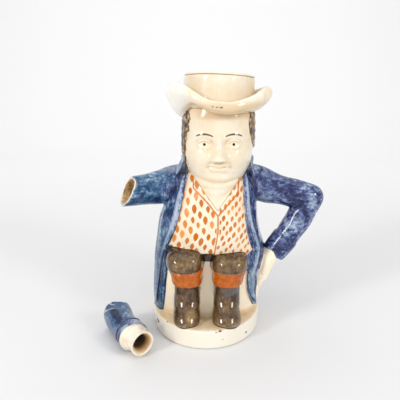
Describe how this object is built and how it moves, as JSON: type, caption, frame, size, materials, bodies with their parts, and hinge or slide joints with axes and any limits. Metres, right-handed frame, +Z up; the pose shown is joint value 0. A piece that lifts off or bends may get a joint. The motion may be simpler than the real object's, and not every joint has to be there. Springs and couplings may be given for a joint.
{
  "type": "figural teapot",
  "caption": "Hollow glazed earthenware teapot shaped as a seated figure in hat and long coat, with lift-off lid and broken-off spout arm beside it.",
  "frame": {"origin": "centre of the plinth's flat underside, at table height", "axes": "+Z up, the figure faces -Y, +X to the viewer's right when seen from the front, on the side of the handle arm"},
  "size_m": [0.2169, 0.1454, 0.2496],
  "materials": {
    "glazed_earthenware": "thick glossy cream glaze over earthenware, painted under the glaze in mottled cobalt blue, brown, ochre and orange",
    "cream_glaze": "glossy cream glaze with faint brown dirt at the rim",
    "blue_glaze": "glossy mottled cobalt blue sleeve with a cream glazed hand and a bare tan broken end"
  },
  "bodies": {
    "root": {"pot_body": "glazed_earthenware", "lid": "cream_glaze", "spout_arm_end": "blue_glaze"}
  },
  "joints": []
}
